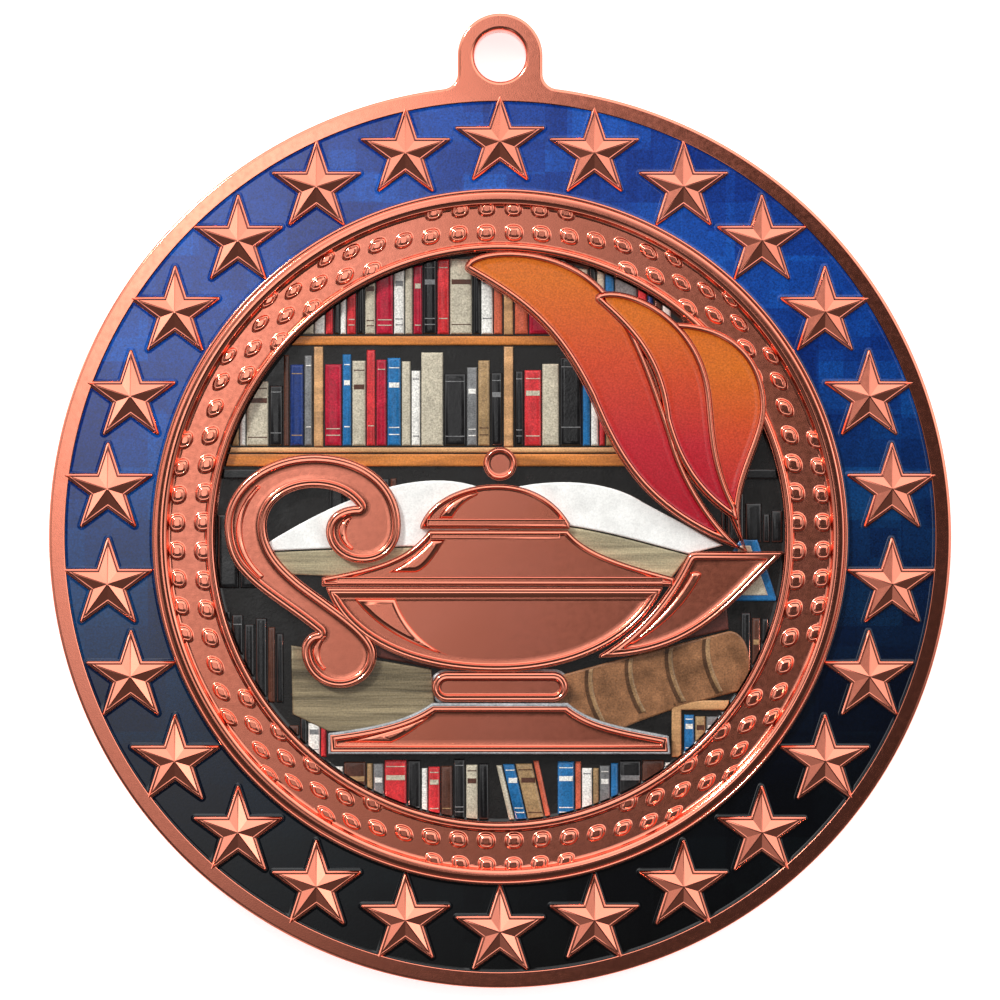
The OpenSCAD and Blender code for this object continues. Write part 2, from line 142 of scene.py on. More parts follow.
FLAME_RIGHT = [
    [60.5, 74.8], [80, 74.5, 92, 64, 92.9, 46], [92.9, 34, 83.5, 22, 83.5, 8],
    [83.5, 3, 84.5, -1, 86, -5], [72, 23, 66, 54, 60.5, 74.8]]
# The knob is its centre and radius, a bar its left, right, bottom and top, and
# the knop its centre, half width and half height.
KNOB = (0, 25.5, 5.5)
BARS = [(-25.5, 23, 3.7, 6.2), (-24.3, 21, -0.8, 1.3), (-57, 57, -16.4, -14.1)]
KNOP = (0, -52.5, 23.5, 5)
# Outlines of the shine marks in the lamp's fields.
MARKS = [
    [[-83.4, 17.2], [-84, 18.2, -85, 18.2, -85.4, 17.4], [-94.6, 8, -95, -5, -84.2, -14.6],
     [-83.6, -15.2, -82.2, -14.4, -82.4, -13.4], [-92, -5, -92.4, 8, -83.4, 17.2]],
    [[-51.6, 6.6], [-51.9, 7.4, -53, 7.4, -53.4, 6.8], [-57.8, 4.6, -57.6, -1.4, -52.2, -4.6],
     [-51.4, -5, -50.8, -4, -51.4, -3.4], [-54.4, -0.8, -54.2, 3.4, -51.6, 6.6]],
    [[-60.6, -35], [-61, -34.2, -62, -34.2, -62.4, -34.8], [-66.8, -38.2, -66.4, -43, -62, -46.6],
     [-61.2, -47.2, -60.4, -46, -61, -45.4], [-63.6, -42, -63.4, -39, -60.6, -35]],
    [[-21.4, 6.4], [-19.4, 11.4, -15, 14.2, -8.6, 15.8], [-7.6, 16, -7.2, 15, -8, 14.4],
     [-12.4, 12.4, -15, 9.6, -16.6, 6.4]],
    [[-39, -12.5], [-32.5, -9, -27.5, -5, -24, -1], [-19, -1], [-22.5, -6.5, -25.5, -11.5, -29.5, -12.5]],
    [[-51, -21.5], [-44.5, -30.5, -33, -38, -16.5, -42], [-27.5, -38, -33.5, -30, -36.5, -21.5]],
    [[66.4, -13], [66.8, -11.8, 70, -11.8, 70.4, -13.2], [66.4, -22, 58.4, -31, 46.5, -37.4],
     [45.6, -37.8, 44.8, -37, 45.4, -36.4], [55, -29.5, 62, -21, 66.4, -13]],
    [[-55.5, -72], [-43, -68.5, -31.5, -66, -22, -60.5], [-27.5, -66, -32, -69.5, -38, -72]]]


# Plane geometry
def outline(rows, steps=22):
    """A table's outline in millimetres, anticlockwise."""
    points = []
    for row in rows:
        if len(row) == 2:
            points.append(np.array(row, float))
            continue
        a = points[-1]
        b, c, d = np.array(row, float).reshape(3, 2)
        for k in range(1, steps + 1):
            t = k / steps
            s = 1 - t
            points.append(s ** 3 * a + 3 * s * s * t * b + 3 * s * t * t * c + t ** 3 * d)
    return tidy_loop(np.array(points) * UNIT)


def tidy_loop(points, least=0.012):
    """Drops repeated points and turns the loop anticlockwise."""
    kept = []
    for p in points:
        if not kept or np.linalg.norm(p - kept[-1]) > least:
            kept.append(p)
    if np.linalg.norm(kept[0] - kept[-1]) <= least:
        kept.pop()
    kept = np.array(kept)
    x, y = kept[:, 0], kept[:, 1]
    area = np.sum(x * np.roll(y, -1) - np.roll(x, -1) * y)
    return kept if area > 0 else kept[::-1]


def circle(radius, steps, centre=(0, 0)):
    turn = np.linspace(0, 2 * math.pi, steps, endpoint=False)
    return np.stack([centre[0] + radius * np.cos(turn), centre[1] + radius * np.sin(turn)], 1)


def stadium(x, y, half_w, half_h, steps=20):
    """A bar with round ends."""
    turn = np.linspace(-math.pi / 2, math.pi / 2, steps)
    right = np.stack([x + half_w - half_h + half_h * np.cos(turn), y + half_h * np.sin(turn)], 1)
    left = np.stack([x - half_w + half_h - half_h * np.cos(turn), y - half_h * np.sin(turn)], 1)
    return np.concatenate([right, left])


def distance_to(loop, points):
    """Least distance from each point to the loop's line."""
    a = loop[None]
    edge = np.roll(loop, -1, 0)[None] - a
    away = points[:, None] - a
    share = np.clip((away * edge).sum(2) / (edge * edge).sum(2), 0, 1)
    return np.sqrt(((away - share[..., None] * edge) ** 2).sum(2).min(1))


def inside(loop, points):
    a = loop[None]
    b = np.roll(loop, -1, 0)[None]
    x, y = points[:, None, 0], points[:, None, 1]
    crosses = (a[..., 1] > y) != (b[..., 1] > y)
    rise = np.where(b[..., 1] == a[..., 1], 1, b[..., 1] - a[..., 1])
    at = a[..., 0] + (y - a[..., 1]) * (b[..., 0] - a[..., 0]) / rise
    return (crosses & (x < at)).sum(1) % 2 == 1


def normals(loop):
    """The direction in from each edge of an anticlockwise loop."""
    edge = np.roll(loop, -1, 0) - loop
    edge /= np.linalg.norm(edge, axis=1)[:, None]
    return np.stack([-edge[:, 1], edge[:, 0]], 1)


def at_height(flat, z):
    """Plane points at a height, or each at its own."""
    return np.column_stack([flat, np.full(len(flat), z)])


def inset(loop, depth):
    """The loop moved inwards by depth, or outwards if it is negative. A corner
    that would open is rounded off."""
    sharp_turn = 0.3
    corner_steps = 6
    least_mitre = 0.12
    slack = 0.004
    normal = normals(loop)
    moved = []
    for k, point in enumerate(loop):
        first, second = normal[k - 1], normal[k]
        turn = math.atan2(first[0] * second[1] - first[1] * second[0], float(first @ second))
        if turn * depth < 0 and abs(turn) > sharp_turn:
            base = math.atan2(first[1], first[0])
            for step in range(corner_steps + 1):
                angle = base + turn * step / corner_steps
                moved.append(point + depth * np.array([math.cos(angle), math.sin(angle)]))
        else:
            mitre = (first + second) / max(1 + first @ second, least_mitre)
            moved.append(point + depth * mitre)
    moved = np.array(moved)
    clear = distance_to(loop, moved) >= abs(depth) - slack
    clear &= inside(loop, moved) == (depth > 0)
    moved = moved[clear]
    return tidy_loop(moved, 0.006) if len(moved) > 3 else None


# Solids
def add_object(name, data):
    made = bpy.data.objects.new(name, data)
    bpy.context.scene.collection.objects.link(made)
    return made


def new_object(name, points, faces):
    """A mesh object from points in millimetres."""
    mesh = bpy.data.meshes.new(name)
    mesh.from_pydata([tuple(float(c) * MM for c in p) for p in points], [], faces)
    mesh.validate()
    return add_object(name, mesh)


def apply_modifier(piece):
    """Takes the modifier's result as the piece's own mesh."""
    graph = bpy.context.evaluated_depsgraph_get()
    result = bpy.data.meshes.new_from_object(piece.evaluated_get(graph))
    piece.modifiers.clear()
    piece.data = result


def relief(name, loop, profile, bottom, draft=0.0):
    """A closed solid with the loop's outline. The profile gives its top as
    (distance in from the edge, height). Its walls go down to bottom, where
    they stand out by draft."""
    points = []
    edges = []
    for depth, _ in profile:
        ring = loop if depth == 0 else inset(loop, depth)
        if ring is None:
            continue
        start = len(points)
        points += [Vector(p) for p in ring.tolist()]
        edges += [(start + k, start + (k + 1) % len(ring)) for k in range(len(ring))]
    flat, _, faces, *_ = delaunay_2d_cdt(points, edges, [], 1, 1e-5)
    flat = np.array([tuple(p) for p in flat])
    depth, height = np.array(profile).T
    z = np.interp(distance_to(loop, flat), depth, height)
    count = len(flat)
    used = dict.fromkeys(pair for face in faces for pair in zip(face, face[1:] + face[:1]))
    border = [(a, b) for a, b in used if (b, a) not in used]
    shift = np.zeros_like(flat)
    for a, b in border:
        along = flat[b] - flat[a]
        along /= np.linalg.norm(along)
        out = np.array([along[1], -along[0]])
        shift[a] += out
        shift[b] += out
    size = np.linalg.norm(shift, axis=1)
    on_border = size > 0.2
    shift[on_border] /= size[on_border][:, None]
    low = flat + shift * draft
    solid = [list(f) for f in faces]
    solid += [[count + v for v in reversed(f)] for f in faces]
    solid += [[b, a, count + a, count + b] for a, b in border]
    return new_object(name, np.concatenate([at_height(flat, z), at_height(low, bottom)]), solid)


def prism(name, loop, bottom, top):
    """A closed solid with a flat top and upright walls."""
    return relief(name, loop, [(0, top)], bottom)


def loft(name, rings):
    """A closed solid through rings of as many points each, from the bottom up."""
    count = len(rings[0])
    points = np.concatenate(rings)
    faces = [list(range(count - 1, -1, -1))]
    last = count * (len(rings) - 1)
    for low in range(0, last, count):
        high = low + count
        for k in range(count):
            after = (k + 1) % count
            faces.append([low + k, low + after, high + after, high + k])
    faces.append([last + k for k in range(count)])
    return new_object(name, points, faces)


def revolve(name, profile, steps=ROUND_STEPS, centre=(0, 0)):
    """A closed solid from (radius, height) pairs, from the bottom up."""
    return loft(name, [at_height(circle(radius, steps, centre), z) for radius, z in profile])


def join(name, objects):
    """One object with all their meshes, which are removed."""
    mesh = bmesh.new()
    for o in objects:
        mesh.from_mesh(o.data)
        bpy.data.objects.remove(o)
    made = new_object(name, [], [])
    mesh.to_mesh(made.data)
    mesh.free()
    return made


def copies(pattern, places):
    """The pattern at each place, joined in one object."""
    made = []
    for x, y in places:
        copy = new_object(pattern.name, [], [])
        copy.data = pattern.data.copy()
        copy.data.transform(Matrix.Translation((x * MM, y * MM, 0)))
        made.append(copy)
    return join(pattern.name, made)


def combine(target, tool, operation="UNION", keep=False):
    """Joins, cuts or trims the target with the tool as closed solids."""
    modifier = target.modifiers.new("combine", "BOOLEAN")
    modifier.operation = operation
    modifier.solver = "MANIFOLD"
    modifier.object = tool
    apply_modifier(target)
    if not keep:
        bpy.data.objects.remove(tool)
    if len(target.data.polygons) == 0:
        raise RuntimeError(f"{target.name} came out empty")
    return target


def cut(target, loop, bottom=0):
    """Cuts the loop's space out of the target, from bottom up."""
    combine(target, prism("cut", loop, bottom, CUT_TOP), "DIFFERENCE")


# How squarely a face looks up when it counts as flat, on the rim and inside it.
FLAT_ON_RIM = 0.9999
FLAT_INSIDE = 0.99999


def soften(piece, angle=32):
    """Smooth shading that keeps flat faces flat and corners crisp."""
    piece.data.shade_smooth()
    piece.data.set_sharp_from_angle(angle=math.radians(angle))
    mesh = bmesh.new()
    mesh.from_mesh(piece.data)
    for edge in mesh.edges:
        level = FLAT_ON_RIM if edge.verts[0].co.xy.length > CHANNEL_R * MM else FLAT_INSIDE
        flat = [face.normal.z > level for face in edge.link_faces]
        if any(flat) and not all(flat):
            edge.smooth = False
    mesh.to_mesh(piece.data)
    mesh.free()
    modifier = piece.modifiers.new("normals", "WEIGHTED_NORMAL")
    modifier.keep_sharp = True
    modifier.weight = 50
    apply_modifier(piece)
    return piece


def place(piece, node, material):
    piece.data.materials.clear()
    piece.data.materials.append(material)
    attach(piece, "root")
    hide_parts(node)


# The casting's plain body. A profile is pairs of a distance and a height: in
# from the edge, out from the hole, or in from a rail's outer side.
ROUNDED_EDGE = [
    (0.28, 0), (0.1, 0.06), (0.02, 0.16), (0, 0.28), (0, EDGE_Z - 0.22), (0.02, EDGE_Z - 0.13),
    (0.07, EDGE_Z - 0.06), (0.15, EDGE_Z - 0.015), (0.24, EDGE_Z)]
HOLE_EDGE = [
    (0.36, -0.06), (0.28, 0), (0.16, 0.03), (0.08, 0.09), (0.03, 0.18), (0, 0.3), (0, EDGE_Z - 0.34),
    (0.03, EDGE_Z - 0.2), (0.08, EDGE_Z - 0.1), (0.16, EDGE_Z - 0.03), (0.28, EDGE_Z),
    (0.4, EDGE_Z + 0.03)]
OUTER_RAIL = [
    (0, 0.42), (0.015, 0.47), (0.04, 0.505), (0.09, 0.525), (0.17, 0.53), (0.21, 0.51), (0.235, 0.485),
    (0.265, 0.485), (0.295, 0.52), (0.33, 0.555), (0.38, 0.573), (0.45, 0.585), (0.54, 0.594),
    (0.65, 0.6), (0.77, 0.6), (0.87, 0.593), (0.95, 0.575), (1.02, 0.54), (1.05, 0.505), (1.07, 0.495),
    (1.1, 0.5), (1.12, 0.48), (1.15, 0.38), (1.19, 0.22), (1.23, 0.1), (1.28, 0.045), (1.36, 0.015),
    (1.46, 0)]
INNER_RAIL = [
    (-0.12, 0), (-0.03, 0.015), (0.02, 0.06), (0.05, 0.13), (0.08, 0.22), (0.11, 0.27), (0.14, 0.28),
    (0.17, 0.27), (0.2, 0.315), (0.24, 0.35), (0.3, 0.372), (0.37, 0.38), (0.44, 0.375), (0.51, 0.355),
    (0.56, 0.325), (0.59, 0.28)]
# How far the channel's walls lean in towards its floor.
CHANNEL_LEAN = 0.02
# How far the loop's neck runs down into the disc.
NECK_ROOT = 0.8


def make_disc():
    """The disc with its rim, star channel, rails, beaded floor and recess."""
    profile = [(DISC_R - across, z) for across, z in ROUNDED_EDGE]
    profile += [(CHANNEL_R + 0.05, DISC_T), (CHANNEL_R + 0.01, DISC_T - 0.02), (CHANNEL_R, DISC_T - 0.05)]
    profile += [(CHANNEL_R - CHANNEL_LEAN, CHANNEL_Z), (RAIL_R + CHANNEL_LEAN, CHANNEL_Z)]
    profile += [(RAIL_R - across, BEAD_Z + up) for across, up in OUTER_RAIL]
    profile += [(INNER_R - across, BEAD_Z + up) for across, up in INNER_RAIL]
    profile += [(FIELD_R, BEAD_Z + 0.2), (FIELD_R - 0.01, RECESS_Z)]
    return revolve("casting", profile)


def make_loop():
    """The hanging loop, with hollow corners where it meets the disc."""
    fillet_x = LOOP_R + LOOP_FILLET_R
    fillet_y = math.sqrt((DISC_R + LOOP_FILLET_R) ** 2 - fillet_x ** 2)
    start = math.atan2(-fillet_y, -fillet_x)
    right = [(fillet_x + LOOP_FILLET_R * math.cos(a), fillet_y + LOOP_FILLET_R * math.sin(a))
             for a in np.linspace(start, -math.pi, 14)]
    right.insert(0, (right[0][0], right[0][1] - NECK_ROOT))
    head = [(LOOP_R * math.cos(a), LOOP_Y + LOOP_R * math.sin(a)) for a in np.linspace(0, math.pi, 49)]
    left = [(-x, y) for x, y in reversed(right)]
    loop = tidy_loop(np.array(right + head + left))
    normal = normals(loop)
    before = np.roll(normal, 1, 0)
    mitre = (normal + before) / (1 + (normal * before).sum(1))[:, None]
    return loft("loop", [at_height(loop + mitre * depth, z) for depth, z in ROUNDED_EDGE])


def make_hole():
    """The loop's hole, wider at both mouths."""
    return revolve("hole", [(LOOP_HOLE_R + out, z) for out, z in HOLE_EDGE], 96, (0, LOOP_Y))


def raised(profile, height):
    """The profile with its heights counted from the given height."""
    return [(depth, height + up) for depth, up in profile]


# The stars. The lip's heights are above a star's edge.
STAR_LIP = [(0, -0.03), (0.03, 0.05), (0.08, 0.11), (0.19, 0.082), (0.2, 0.02)]
# Width of the bevel along the ridges to a star's points.
RIDGE_BEVEL = 0.05


def star_loop(radius):
    """A regular star with five points, one of them up."""
    notch = radius * math.cos(math.radians(72)) / math.cos(math.radians(36))
    turn = np.radians(90 + 36 * np.arange(10))
    reach = np.where(np.arange(10) % 2 == 0, radius, notch)
    return np.stack([reach * np.cos(turn), reach * np.sin(turn)], 1)


def star_places():
    """The middles of the stars, which all stand upright round the ring."""
    for k in range(STAR_COUNT):
        angle = math.radians(90 + 360 * k / STAR_COUNT)
        yield STAR_RING_R * math.cos(angle), STAR_RING_R * math.sin(angle)


def make_stars():
    """Faceted stars with a raised lip round the edge, each on a foot with
    sloping sides."""
    root_z = CHANNEL_Z - SINK
    slope = [(0, BAND_Z - 0.02), (STAR_FOOT, STAR_EDGE_Z - 0.04)]
    foot = relief("foot", inset(star_loop(STAR_R), -STAR_FOOT), slope, root_z)
    mesh = bmesh.new()
    low = [mesh.verts.new((x, y, root_z)) for x, y in star_loop(STAR_R)]
    high = [mesh.verts.new((x, y, STAR_EDGE_Z)) for x, y in star_loop(STAR_R)]
    apex = mesh.verts.new((0, 0, STAR_EDGE_Z + STAR_PEAK))
    mesh.faces.new(low[::-1])
    for k in range(10):
        after = (k + 1) % 10
        mesh.faces.new([low[k], low[after], high[after], high[k]])
        mesh.faces.new([high[k], high[after], apex])
    slopes = [edge for edge in mesh.edges if apex in edge.verts]
    ridges = [edge for edge in slopes if edge.other_vert(apex).co.xy.length > STAR_R * 0.9]
    bmesh.ops.bevel(mesh, geom=ridges, offset=RIDGE_BEVEL, segments=1, profile=0.7, affect="EDGES")
    points = [v.co[:] for v in mesh.verts]
    mesh.verts.index_update()
    faces = [[v.index for v in f.verts] for f in mesh.faces]
    mesh.free()
    star = combine(new_object("star", points, faces), foot)
    combine(star, relief("lip", star_loop(STAR_R), raised(STAR_LIP, STAR_EDGE_Z), root_z))
    stars = copies(star, star_places())
    bpy.data.objects.remove(star)
    return stars


# The beads. They stand on a square net that bulges like a dome seen from
# above: these shares shorten its steps towards the edge and the corners.
BEAD_SQUEEZE_X = 0.00075
BEAD_SQUEEZE_Y = 0.00108
BEAD_BULGE = 0.0019
BEAD_ROWS = 12
# How far a bead's middle may lie outside the beaded floor.
BEAD_REACH = 0.05
# A bead's tiers from the bottom up: the size, the height, and how square it is.
BEAD_TIERS = [
    (1.2, -SINK, 2.3), (1.2, 0, 2.3), (1.12, 0.015, 2.3), (1.05, 0.05, 2.4), (1, 0.1, 2.4),
    (0.94, 0.15, 2.5), (0.88, 0.182, 2.6), (0.8, 0.195, 2.8), (0.73, 0.19, 3.2), (0.67, 0.178, 3.8),
    (0.63, 0.185, 4.2), (0.58, 0.215, 4.6), (0.51, 0.25, 5), (0.46, 0.27, 5), (0.42, 0.28, 4.5),
    (0.35, 0.284, 4)]


def net_point(i, j):
    """Where the beads' net puts column i and row j."""
    x = BEAD_PITCH_X * i * (1 - BEAD_SQUEEZE_X * i * i - BEAD_BULGE * j * j)
    y = BEAD_PITCH_Y * j * (1 - BEAD_SQUEEZE_Y * j * j - BEAD_BULGE * i * i)
    return np.array([x, y])


def make_bead(i, j):
    """A stepped bead at column i and row j, turned and sized with the net."""
    half = BEAD_SHARE / 2
    turn = np.linspace(0, 2 * math.pi, 20, endpoint=False)
    c, s = np.cos(turn), np.sin(turn)
    across = (net_point(i + half, j) - net_point(i - half, j)) / 2
    up = (net_point(i, j + half) - net_point(i, j - half)) / 2
    rings = []
    for size, z, power in BEAD_TIERS:
        reach = size * (abs(c) ** power + abs(s) ** power) ** (-1 / power)
        flat = net_point(i, j) + np.outer(reach * c, across) + np.outer(reach * s, up)
        rings.append(at_height(flat, BEAD_Z + z))
    return loft("bead", rings)


def make_beads():
    beads = []
    for i in np.arange(0.5, BEAD_ROWS):
        for j in np.arange(0.5, BEAD_ROWS):
            if INNER_R < np.linalg.norm(net_point(i, j)) < BEAD_R + BEAD_REACH:
                beads += [make_bead(hand * i, side * j) for hand in (1, -1) for side in (1, -1)]
    return join("beads", beads)


# The lamp and the flame. These are edges from outside in: borders round flat,
# hollow and narrow fields, the knob, a bar, the flame's wall and a shine mark.
BORDER = [
    (0, -0.13), (0.02, -0.08), (0.06, -0.04), (0.11, -0.01), (0.17, 0), (0.22, -0.015), (0.26, -0.04),
    (0.3, -0.035), (0.35, -0.01), (0.42, 0), (0.48, -0.01), (0.51, -0.05), (0.525, -0.13), (0.54, -0.2),
    (0.56, -0.235), (0.6, -0.247), (0.66, -0.25)]
HOLLOW = BORDER[:-3] + [
    (0.565, -0.222), (0.6, -0.2335), (0.66, -0.2405), (0.74, -0.2455), (0.84, -0.2482), (0.96, -0.2495)]
SLIM = [(0, -0.13), (0.02, -0.075), (0.06, -0.03), (0.11, -0.004), (0.16, 0), (0.2, -0.02), (0.225, -0.07),
        (0.245, -0.14), (0.27, -0.2), (0.32, -0.235), (0.4, -0.25)]
BUTTON = [(0, -0.2), (0.03, -0.1), (0.08, -0.03), (0.14, 0), (0.2, -0.01), (0.25, -0.05), (0.28, -0.12),
          (0.31, -0.17), (0.36, -0.19), (0.5, -0.2)]
BAR = [(0, -0.09), (0.015, -0.03), (0.05, 0), (0.1, -0.005), (0.15, -0.025)]
RIDGE = [(0, -0.24), (0.02, -0.15), (0.06, -0.07), (0.11, -0.03), (0.15, -0.035), (0.19, -0.02), (0.25, 0),
         (0.32, -0.005), (0.38, -0.04), (0.42, -0.1), (0.45, -0.18), (0.47, -0.28), (0.48, -0.4)]
PILLOW = [(0, -0.02), (0.03, 0.04), (0.08, 0.1), (0.14, 0.15), (0.21, 0.19), (0.3, 0.215), (0.42, 0.225)]
LAMP_EDGES = {"knob": BUTTON, "lid": SLIM, "shoulder": SLIM, "knop": BORDER}
# How far inside a tongue, and below its cell, rails and beads are cleared away.
CLEARING = 0.1


def lamp_loops():
    """The outlines of the lamp's parts."""
    loops = {
        "handle": outline(HANDLE), "lid": outline(LID), "shoulder": outline(SHOULDER),
        "bowl": outline(BOWL), "spout": outline(SPOUT), "foot": outline(FOOT)}
    loops["knob"] = circle(KNOB[2] * UNIT, 48, (KNOB[0] * UNIT, KNOB[1] * UNIT))
    loops["knop"] = tidy_loop(stadium(*[n * UNIT for n in KNOP]))
    return loops


def box(left, right, bottom, top, lean=0.0):
    """An upright box in picture units, whose top may lean to the right."""
    corners = [(left, bottom), (right, bottom), (right + lean, top), (left + lean, top)]
    return tidy_loop(np.array(corners) * UNIT)


def add_lamp(casting):
    for name, loop in lamp.items():
        edge = raised(LAMP_EDGES.get(name, HOLLOW), LAMP_Z)
        combine(casting, relief(name, loop, edge, RECESS_Z - SINK, draft=0.05))
    for bar in BARS:
        edge = raised(BAR, LAMP_Z)
        combine(casting, relief("bar", box(*bar), edge, LAMP_FIELD_Z - FIELD_ROOT, draft=0.02))
    for rows in MARKS:
        edge = raised(PILLOW, LAMP_FIELD_Z)
        combine(casting, relief("mark", outline(rows), edge, LAMP_FIELD_Z - FIELD_ROOT, draft=0.04))


def add_flame(casting):
    """The tongues' walls. The middle tongue stands in front of the other two."""
    for name in ("left", "right", "middle"):
        cut(casting, inset(flames[name], CLEARING), FLAME_CELL_Z - CLEARING)
        tongue = relief("tongue", flames[name], raised(RIDGE, FLAME_Z), RECESS_Z - SINK, draft=0.05)
        if name != "middle":
            cut(tongue, flames["middle"])
        combine(casting, tongue)


lamp = lamp_loops()
flames = {"left": outline(FLAME_LEFT), "middle": outline(FLAME_MIDDLE), "right": outline(FLAME_RIGHT)}
casting = make_disc()
combine(casting, make_loop())
combine(casting, make_hole(), "DIFFERENCE")
combine(casting, make_stars())
combine(casting, make_beads())
add_lamp(casting)
add_flame(casting)
# At the usual angle the stars' ridges would be smoothed into their facets.
soften(casting, angle=31)


# The colour layers
BAND_CREEP = [(0, 0.035), (0.04, 0.022), (0.09, 0.01), (0.15, 0.003), (0.2, 0)]
ENAMEL_TOP = [(0, 0.28), (0.06, 0.255), (0.15, 0.24), (0.4, 0.23), (0.8, 0.23)]
# How far inside a tongue's outline its enamel starts.
ENAMEL_INSET = 0.47
# Space between the picture and the lamp's and flame's outlines.
PICTURE_GAP = 0.08


def make_band():
    """The blue layer: a flat ring, cut out round every star, that creeps up a
    little where it meets a wall."""
    outer, inner = CHANNEL_R - GAP, RAIL_R + GAP
    hole = STAR_FOOT + 0.01
    width = BAND_CREEP[-1][0]
    inwards = [(away, BAND_Z + up) for away, up in reversed(BAND_CREEP)]
    profile = [(outer, CHANNEL_Z)]
    profile += [(outer - away, BAND_Z + up) for away, up in BAND_CREEP]
    profile += [(inner + away, z) for away, z in inwards]
    band = revolve("blue_band", profile)
    lip = relief("lip", inset(star_loop(STAR_R), -hole - width),
                 [(width - away, z) for away, z in inwards], CHANNEL_Z + 0.1)
    places = list(star_places())
    for group in (places[::2], places[1::2]):
        combine(band, copies(lip, group))
    combine(band, prism("outside", circle(outer, ROUND_STEPS), 0, CUT_TOP), "INTERSECT")
    cut(band, circle(inner, ROUND_STEPS))
    space = prism("space", inset(star_loop(STAR_R), -hole), 0, CUT_TOP)
    combine(band, copies(space, places), "DIFFERENCE")
    bpy.data.objects.remove(lip)
    bpy.data.objects.remove(space)
    return soften(band)


def make_enamel(name):
    """The enamel in one tongue, a little hollow between its walls."""
    top = raised(ENAMEL_TOP, FLAME_CELL_Z)
    fill = relief("enamel_" + name, inset(flames[name], ENAMEL_INSET), top, FLAME_CELL_Z)
    if name != "middle":
        cut(fill, inset(flames["middle"], -0.05))
    return soften(fill)


def make_region():
    """The space that the picture may fill: the recess, clear of lamp and flame."""
    region = prism("region", circle(FIELD_R - GAP, ROUND_STEPS), RECESS_Z, RECESS_Z + 2)
    for loop in list(lamp.values()) + list(flames.values()):
        cut(region, inset(loop, -PICTURE_GAP))
    return region


# The picture. A board is its left, right, bottom, top and colour.
BOARDS = [
    (-84, 26, 66.9, 70.1, "shelf"), (26.5, 60, 66.9, 70.1, "shelf"), (1.4, 4.6, 31.5, 66.4, "wood"),
    (1.4, 4.6, 70.6, 99, "wood"), (-65, -61.8, 31.5, 66.4, "wood"), (-96, 52, 29.4, 31.2, "wood"),
    (-96, 52, 24.6, 28.9, "shelf"), (-97, -66, 20.2, 23.6, "binder"), (78, 99, 20.2, 23.6, "binder")]
# Colours for rows of books, with the usual ones more often.
MIXED = (["white"] * 6 + ["black"] * 6 + ["cream"] * 3 + ["grey"] * 3 + ["red"] * 3 + ["brown"] * 2
         + ["blue"] * 2 + ["tan"] * 2 + ["navy", "orange", "cyan"])
BRIGHT = (["white"] * 9 + ["cream"] * 5 + ["red"] * 5 + ["black"] * 5 + ["orange"] * 3 + ["grey"] * 2
          + ["crimson", "blue", "tan", "brown"])
DARK = ["binder"] * 8 + ["brown", "black"]
# A row of books is its left, right and foot, the least and most height of a
# book, their colours, and for one row how far their tops lean to the right.
SHELVES = [
    (-70, 1, 70.8, 22, 28, BRIGHT), (5, 26, 70.8, 22, 28, BRIGHT), (27, 60, 70.8, 22, 28, MIXED),
    (-95, -65.4, 31.8, 20, 33, MIXED), (-61.4, 1, 31.8, 25, 33.6, BRIGHT), (5, 48, 31.8, 25, 33.6, BRIGHT),
    (-72, -2, -99, 18, 21.5, MIXED), (3, 19, -99, 19, 21, MIXED, -4.5), (20, 60, -99, 18, 21.5, MIXED),
    (-99, -74.5, -58, 24, 36, DARK), (-99, -84, -18, 20, 27, DARK), (84, 99, -56, 26, 32, DARK),
    (77, 99, -2, 10, 20, DARK), (-74, -60.5, -77, 11, 14, MIXED), (64.2, 80, -77, 14, 16, MIXED),
    (-60, -36, 8, 12, 16, DARK)]
# A shape is its kind, its height above the ground, its colour and its outline.
SHAPES = [
    ("pages", 0.34, "white", [[-81, -2], [-55, 14, -26, 26, -4, 16], [-4, -3], [-28, -3, -60, -4, -80, -5]]),
    ("pages", 0.34, "white", [[0, 16], [18, 21, 38, 20, 50, 12], [78, -3], [66, -6], [46, -1, 30, 5, 0, 6]]),
    ("edges", 0.26, "leaf", [[-80, -5.5], [-60, -4.5, -28, -3.5, -4, -3.5], [-4, -16], [-77, -13]]),
    ("edges", 0.26, "leaf", [[0, 5.5], [30, 4.5, 46, -1.5, 66, -6.5], [58, -17], [0, -17]]),
    ("edges", 0.26, "stack", [[-73, -38], [-24, -46.4], [-22, -68], [-60, -68], [-72.5, -62]]),
    ("cover", 0.3, "leather", [[16, -50], [22, -48, 60, -38, 80, -33],
                              [87, -33, 89, -45, 86, -53.5], [66, -58, 50, -63.5, 36, -70], [16, -58]]),
    ("post", 0.3, "wood", [[60, -77], [63.4, -77], [63.4, -60.6], [80, -60.6], [80, -57.2], [60, -57.2]]),
    ("cover", 0.24, "maroon", [[-48, -33], [-12, -37], [-12, -47], [-24, -45.8], [-46, -41.6]]),
    ("cover", 0.24, "maroon", [[58, -26], [79, -22], [80, -32.4], [40, -41.6]]),
    ("cover", 0.22, "blue", [[84, -1], [90, -1], [97, -22.5], [70, -22.5]]),
    ("leaf", 0.27, "cream", [[84, -3], [87.6, -3], [93.8, -20.6], [75, -20.6]])]
# Where the ribs of the leather cover start.
RIBS = [(31, -46.4), (45, -42.6), (59, -38.9), (72, -35.6)]
# Height of the picture's ground above the recess, and of pieces above the ground.
GROUND = 0.2
BOOK_H = 0.2
BOOK_BAND_H = 0.215
BOARD_H = 0.3
GROOVE_H = 0.34
RIB_H = 0.38
